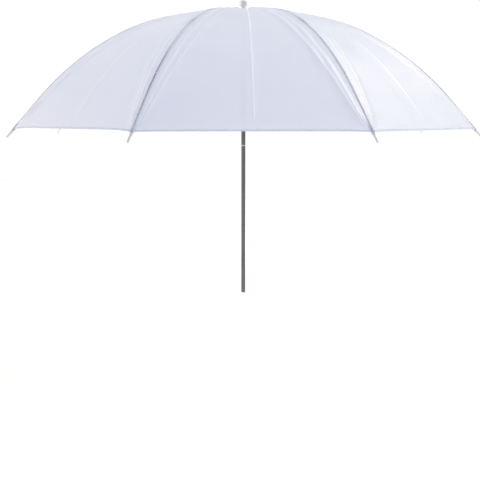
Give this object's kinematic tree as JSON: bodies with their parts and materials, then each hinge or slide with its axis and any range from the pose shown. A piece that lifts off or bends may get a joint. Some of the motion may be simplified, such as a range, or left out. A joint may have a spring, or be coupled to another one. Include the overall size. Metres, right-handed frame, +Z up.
{
  "type": "umbrella reflector",
  "caption": "Folding white translucent studio umbrella: a cloth canopy on bent steel ribs, with stretchers and a runner on a clampable steel shaft.",
  "frame": {"origin": "centre of the shaft's lower end", "axes": "+Z up the shaft to the canopy; a gore faces -Y, and rib 1 lies 22.5 degrees from +X"},
  "size_m": [0.7776, 0.7776, 0.5465],
  "materials": {
    "cloth": "translucent woven nylon, soft sheen",
    "shaft": "dark nickel tube, satin",
    "rib": "drawn steel rod, satin",
    "steel": "bright wire",
    "plastic": "moulded, fine grain",
    "runner": "moulded translucent white",
    "ferrule": "moulded, glossy",
    "tip": "moulded, glossy",
    "plug": "moulded"
  },
  "bodies": {
    "shaft": {"shaft_tube": "shaft", "end_plug": "plug", "crown": "plastic", "crown_wire": "steel", "ferrule_cap": "ferrule", "cloth_washer": "plastic", "stop_pin": "steel", "catch_pin": "steel"},
    "catch": {"catch_spring": "steel"},
    "runner": {"runner": "runner", "runner_wire": "steel"},
    "inner_rib_1": {"rib_1_inner": "rib"},
    "outer_rib_1": {"rib_1_outer": "rib", "tip_cap_1": "tip"},
    "stretcher_1": {"stretcher_1": "rib"},
    "inner_gore_1": {"gore_1_inner": "cloth"},
    "outer_gore_1": {"gore_1_outer": "cloth"},
    "inner_rib_2": {"rib_2_inner": "rib"},
    "outer_rib_2": {"rib_2_outer": "rib", "tip_cap_2": "tip"},
    "stretcher_2": {"stretcher_2": "rib"},
    "inner_gore_2": {"gore_2_inner": "cloth"},
    "outer_gore_2": {"gore_2_outer": "cloth"},
    "inner_rib_3": {"rib_3_inner": "rib"},
    "outer_rib_3": {"rib_3_outer": "rib", "tip_cap_3": "tip"},
    "stretcher_3": {"stretcher_3": "rib"},
    "inner_gore_3": {"gore_3_inner": "cloth"},
    "outer_gore_3": {"gore_3_outer": "cloth"},
    "inner_rib_4": {"rib_4_inner": "rib"},
    "outer_rib_4": {"rib_4_outer": "rib", "tip_cap_4": "tip"},
    "stretcher_4": {"stretcher_4": "rib"},
    "inner_gore_4": {"gore_4_inner": "cloth"},
    "outer_gore_4": {"gore_4_outer": "cloth"},
    "inner_rib_5": {"rib_5_inner": "rib"},
    "outer_rib_5": {"rib_5_outer": "rib", "tip_cap_5": "tip"},
    "stretcher_5": {"stretcher_5": "rib"},
    "inner_gore_5": {"gore_5_inner": "cloth"},
    "outer_gore_5": {"gore_5_outer": "cloth"},
    "inner_rib_6": {"rib_6_inner": "rib"},
    "outer_rib_6": {"rib_6_outer": "rib", "tip_cap_6": "tip"},
    "stretcher_6": {"stretcher_6": "rib"},
    "inner_gore_6": {"gore_6_inner": "cloth"},
    "outer_gore_6": {"gore_6_outer": "cloth"},
    "inner_rib_7": {"rib_7_inner": "rib"},
    "outer_rib_7": {"rib_7_outer": "rib", "tip_cap_7": "tip"},
    "stretcher_7": {"stretcher_7": "rib"},
    "inner_gore_7": {"gore_7_inner": "cloth"},
    "outer_gore_7": {"gore_7_outer": "cloth"},
    "inner_rib_8": {"rib_8_inner": "rib"},
    "outer_rib_8": {"rib_8_outer": "rib", "tip_cap_8": "tip"},
    "stretcher_8": {"stretcher_8": "rib"},
    "inner_gore_8": {"gore_8_inner": "cloth"},
    "outer_gore_8": {"gore_8_outer": "cloth"}
  },
  "joints": [
    {"name": "canopy_fold", "type": "hinge", "parent": "shaft", "child": "inner_rib_1", "pos_m": [0.00924, 0.00383, 0.5177], "axis": [-0.3827, 0.9239, 0], "range_deg": [0, 75], "deforming": ["gore_1_inner", "gore_1_outer", "gore_2_inner", "gore_2_outer", "gore_3_inner", "gore_3_outer", "gore_4_inner", "gore_4_outer", "gore_5_inner", "gore_5_outer", "gore_6_inner", "gore_6_outer", "gore_7_inner", "gore_7_outer", "gore_8_inner", "gore_8_outer", "catch_spring"]},
    {"name": "rib_1_flex", "type": "hinge", "parent": "inner_rib_1", "child": "outer_rib_1", "pos_m": [0.20325, 0.08419, 0.4794], "axis": [-0.3827, 0.9239, 0], "range_deg": [-27, 0]},
    {"name": "stretcher_1_turn", "type": "hinge", "parent": "inner_rib_1", "child": "stretcher_1", "pos_m": [0.20325, 0.08419, 0.4794], "axis": [-0.3827, 0.9239, 0], "range_deg": [-151, 0]},
    {"name": "runner_turn", "type": "hinge", "parent": "stretcher_1", "child": "runner", "pos_m": [0.00924, 0.00383, 0.4411], "axis": [-0.3827, 0.9239, 0], "range_deg": [0, 76]},
    {"name": "gore_1_fold", "type": "hinge", "parent": "shaft", "child": "inner_gore_1", "pos_m": [0.00653, 0.00653, 0.5177], "axis": [-0.7071, 0.7071, 0], "range_deg": [0, 76]},
    {"name": "gore_1_flex", "type": "hinge", "parent": "inner_gore_1", "child": "outer_gore_1", "pos_m": [0.14372, 0.14372, 0.4826], "axis": [-0.7071, 0.7071, 0], "range_deg": [-27, 0]},
    {"name": "rib_2_fold", "type": "hinge", "parent": "shaft", "child": "inner_rib_2", "pos_m": [0.00383, 0.00924, 0.5177], "axis": [-0.9239, 0.3827, 0], "range_deg": [0, 75]},
    {"name": "rib_2_flex", "type": "hinge", "parent": "inner_rib_2", "child": "outer_rib_2", "pos_m": [0.08419, 0.20325, 0.4794], "axis": [-0.9239, 0.3827, 0], "range_deg": [-27, 0]},
    {"name": "stretcher_2_turn", "type": "hinge", "parent": "inner_rib_2", "child": "stretcher_2", "pos_m": [0.08419, 0.20325, 0.4794], "axis": [-0.9239, 0.3827, 0], "range_deg": [-151, 0]},
    {"name": "gore_2_fold", "type": "hinge", "parent": "shaft", "child": "inner_gore_2", "pos_m": [0, 0.00924, 0.5177], "axis": [-1, 0, 0], "range_deg": [0, 76]},
    {"name": "gore_2_flex", "type": "hinge", "parent": "inner_gore_2", "child": "outer_gore_2", "pos_m": [0, 0.20325, 0.4826], "axis": [-1, 0, 0], "range_deg": [-27, 0]},
    {"name": "rib_3_fold", "type": "hinge", "parent": "shaft", "child": "inner_rib_3", "pos_m": [-0.00383, 0.00924, 0.5177], "axis": [-0.9239, -0.3827, 0], "range_deg": [0, 75]},
    {"name": "rib_3_flex", "type": "hinge", "parent": "inner_rib_3", "child": "outer_rib_3", "pos_m": [-0.08419, 0.20325, 0.4794], "axis": [-0.9239, -0.3827, 0], "range_deg": [-27, 0]},
    {"name": "stretcher_3_turn", "type": "hinge", "parent": "inner_rib_3", "child": "stretcher_3", "pos_m": [-0.08419, 0.20325, 0.4794], "axis": [-0.9239, -0.3827, 0], "range_deg": [-151, 0]},
    {"name": "gore_3_fold", "type": "hinge", "parent": "shaft", "child": "inner_gore_3", "pos_m": [-0.00653, 0.00653, 0.5177], "axis": [-0.7071, -0.7071, 0], "range_deg": [0, 76]},
    {"name": "gore_3_flex", "type": "hinge", "parent": "inner_gore_3", "child": "outer_gore_3", "pos_m": [-0.14372, 0.14372, 0.4826], "axis": [-0.7071, -0.7071, 0], "range_deg": [-27, 0]},
    {"name": "rib_4_fold", "type": "hinge", "parent": "shaft", "child": "inner_rib_4", "pos_m": [-0.00924, 0.00383, 0.5177], "axis": [-0.3827, -0.9239, 0], "range_deg": [0, 75]},
    {"name": "rib_4_flex", "type": "hinge", "parent": "inner_rib_4", "child": "outer_rib_4", "pos_m": [-0.20325, 0.08419, 0.4794], "axis": [-0.3827, -0.9239, 0], "range_deg": [-27, 0]},
    {"name": "stretcher_4_turn", "type": "hinge", "parent": "inner_rib_4", "child": "stretcher_4", "pos_m": [-0.20325, 0.08419, 0.4794], "axis": [-0.3827, -0.9239, 0], "range_deg": [-151, 0]},
    {"name": "gore_4_fold", "type": "hinge", "parent": "shaft", "child": "inner_gore_4", "pos_m": [-0.00924, 0, 0.5177], "axis": [0, -1, 0], "range_deg": [0, 76]},
    {"name": "gore_4_flex", "type": "hinge", "parent": "inner_gore_4", "child": "outer_gore_4", "pos_m": [-0.20325, 0, 0.4826], "axis": [0, -1, 0], "range_deg": [-27, 0]},
    {"name": "rib_5_fold", "type": "hinge", "parent": "shaft", "child": "inner_rib_5", "pos_m": [-0.00924, -0.00383, 0.5177], "axis": [0.3827, -0.9239, 0], "range_deg": [0, 75]},
    {"name": "rib_5_flex", "type": "hinge", "parent": "inner_rib_5", "child": "outer_rib_5", "pos_m": [-0.20325, -0.08419, 0.4794], "axis": [0.3827, -0.9239, 0], "range_deg": [-27, 0]},
    {"name": "stretcher_5_turn", "type": "hinge", "parent": "inner_rib_5", "child": "stretcher_5", "pos_m": [-0.20325, -0.08419, 0.4794], "axis": [0.3827, -0.9239, 0], "range_deg": [-151, 0]},
    {"name": "gore_5_fold", "type": "hinge", "parent": "shaft", "child": "inner_gore_5", "pos_m": [-0.00653, -0.00653, 0.5177], "axis": [0.7071, -0.7071, 0], "range_deg": [0, 76]},
    {"name": "gore_5_flex", "type": "hinge", "parent": "inner_gore_5", "child": "outer_gore_5", "pos_m": [-0.14372, -0.14372, 0.4826], "axis": [0.7071, -0.7071, 0], "range_deg": [-27, 0]},
    {"name": "rib_6_fold", "type": "hinge", "parent": "shaft", "child": "inner_rib_6", "pos_m": [-0.00383, -0.00924, 0.5177], "axis": [0.9239, -0.3827, 0], "range_deg": [0, 75]},
    {"name": "rib_6_flex", "type": "hinge", "parent": "inner_rib_6", "child": "outer_rib_6", "pos_m": [-0.08419, -0.20325, 0.4794], "axis": [0.9239, -0.3827, 0], "range_deg": [-27, 0]},
    {"name": "stretcher_6_turn", "type": "hinge", "parent": "inner_rib_6", "child": "stretcher_6", "pos_m": [-0.08419, -0.20325, 0.4794], "axis": [0.9239, -0.3827, 0], "range_deg": [-151, 0]},
    {"name": "gore_6_fold", "type": "hinge", "parent": "shaft", "child": "inner_gore_6", "pos_m": [0, -0.00924, 0.5177], "axis": [1, 0, 0], "range_deg": [0, 76]},
    {"name": "gore_6_flex", "type": "hinge", "parent": "inner_gore_6", "child": "outer_gore_6", "pos_m": [0, -0.20325, 0.4826], "axis": [1, 0, 0], "range_deg": [-27, 0]},
    {"name": "rib_7_fold", "type": "hinge", "parent": "shaft", "child": "inner_rib_7", "pos_m": [0.00383, -0.00924, 0.5177], "axis": [0.9239, 0.3827, 0], "range_deg": [0, 75]},
    {"name": "rib_7_flex", "type": "hinge", "parent": "inner_rib_7", "child": "outer_rib_7", "pos_m": [0.08419, -0.20325, 0.4794], "axis": [0.9239, 0.3827, 0], "range_deg": [-27, 0]},
    {"name": "stretcher_7_turn", "type": "hinge", "parent": "inner_rib_7", "child": "stretcher_7", "pos_m": [0.08419, -0.20325, 0.4794], "axis": [0.9239, 0.3827, 0], "range_deg": [-151, 0]},
    {"name": "gore_7_fold", "type": "hinge", "parent": "shaft", "child": "inner_gore_7", "pos_m": [0.00653, -0.00653, 0.5177], "axis": [0.7071, 0.7071, 0], "range_deg": [0, 76]},
    {"name": "gore_7_flex", "type": "hinge", "parent": "inner_gore_7", "child": "outer_gore_7", "pos_m": [0.14372, -0.14372, 0.4826], "axis": [0.7071, 0.7071, 0], "range_deg": [-27, 0]},
    {"name": "rib_8_fold", "type": "hinge", "parent": "shaft", "child": "inner_rib_8", "pos_m": [0.00924, -0.00383, 0.5177], "axis": [0.3827, 0.9239, 0], "range_deg": [0, 75]},
    {"name": "rib_8_flex", "type": "hinge", "parent": "inner_rib_8", "child": "outer_rib_8", "pos_m": [0.20325, -0.08419, 0.4794], "axis": [0.3827, 0.9239, 0], "range_deg": [-27, 0]},
    {"name": "stretcher_8_turn", "type": "hinge", "parent": "inner_rib_8", "child": "stretcher_8", "pos_m": [0.20325, -0.08419, 0.4794], "axis": [0.3827, 0.9239, 0], "range_deg": [-151, 0]},
    {"name": "gore_8_fold", "type": "hinge", "parent": "shaft", "child": "inner_gore_8", "pos_m": [0.00924, 0, 0.5177], "axis": [0, 1, 0], "range_deg": [0, 76]},
    {"name": "gore_8_flex", "type": "hinge", "parent": "inner_gore_8", "child": "outer_gore_8", "pos_m": [0.20325, 0, 0.4826], "axis": [0, 1, 0], "range_deg": [-27, 0]},
    {"name": "catch_press", "type": "hinge", "parent": "shaft", "child": "catch", "pos_m": [0, 0, 0.3906], "axis": [0, -1, 0], "range_deg": [0, 7], "stiffness_Nm_per_rad": 0.6}
  ],
  "couplings": [
    {"joint": "rib_1_flex", "follows": "canopy_fold", "ratio": -0.34667},
    {"joint": "stretcher_1_turn", "follows": "canopy_fold", "ratio": -2},
    {"joint": "runner_turn", "follows": "canopy_fold", "ratio": 1},
    {"joint": "gore_1_fold", "follows": "canopy_fold", "ratio": 1},
    {"joint": "gore_1_flex", "follows": "canopy_fold", "ratio": -0.34667},
    {"joint": "rib_2_fold", "follows": "canopy_fold", "ratio": 1},
    {"joint": "rib_2_flex", "follows": "canopy_fold", "ratio": -0.34667},
    {"joint": "stretcher_2_turn", "follows": "canopy_fold", "ratio": -2},
    {"joint": "gore_2_fold", "follows": "canopy_fold", "ratio": 1},
    {"joint": "gore_2_flex", "follows": "canopy_fold", "ratio": -0.34667},
    {"joint": "rib_3_fold", "follows": "canopy_fold", "ratio": 1},
    {"joint": "rib_3_flex", "follows": "canopy_fold", "ratio": -0.34667},
    {"joint": "stretcher_3_turn", "follows": "canopy_fold", "ratio": -2},
    {"joint": "gore_3_fold", "follows": "canopy_fold", "ratio": 1},
    {"joint": "gore_3_flex", "follows": "canopy_fold", "ratio": -0.34667},
    {"joint": "rib_4_fold", "follows": "canopy_fold", "ratio": 1},
    {"joint": "rib_4_flex", "follows": "canopy_fold", "ratio": -0.34667},
    {"joint": "stretcher_4_turn", "follows": "canopy_fold", "ratio": -2},
    {"joint": "gore_4_fold", "follows": "canopy_fold", "ratio": 1},
    {"joint": "gore_4_flex", "follows": "canopy_fold", "ratio": -0.34667},
    {"joint": "rib_5_fold", "follows": "canopy_fold", "ratio": 1},
    {"joint": "rib_5_flex", "follows": "canopy_fold", "ratio": -0.34667},
    {"joint": "stretcher_5_turn", "follows": "canopy_fold", "ratio": -2},
    {"joint": "gore_5_fold", "follows": "canopy_fold", "ratio": 1},
    {"joint": "gore_5_flex", "follows": "canopy_fold", "ratio": -0.34667},
    {"joint": "rib_6_fold", "follows": "canopy_fold", "ratio": 1},
    {"joint": "rib_6_flex", "follows": "canopy_fold", "ratio": -0.34667},
    {"joint": "stretcher_6_turn", "follows": "canopy_fold", "ratio": -2},
    {"joint": "gore_6_fold", "follows": "canopy_fold", "ratio": 1},
    {"joint": "gore_6_flex", "follows": "canopy_fold", "ratio": -0.34667},
    {"joint": "rib_7_fold", "follows": "canopy_fold", "ratio": 1},
    {"joint": "rib_7_flex", "follows": "canopy_fold", "ratio": -0.34667},
    {"joint": "stretcher_7_turn", "follows": "canopy_fold", "ratio": -2},
    {"joint": "gore_7_fold", "follows": "canopy_fold", "ratio": 1},
    {"joint": "gore_7_flex", "follows": "canopy_fold", "ratio": -0.34667},
    {"joint": "rib_8_fold", "follows": "canopy_fold", "ratio": 1},
    {"joint": "rib_8_flex", "follows": "canopy_fold", "ratio": -0.34667},
    {"joint": "stretcher_8_turn", "follows": "canopy_fold", "ratio": -2},
    {"joint": "gore_8_fold", "follows": "canopy_fold", "ratio": 1},
    {"joint": "gore_8_flex", "follows": "canopy_fold", "ratio": -0.34667}
  ]
}
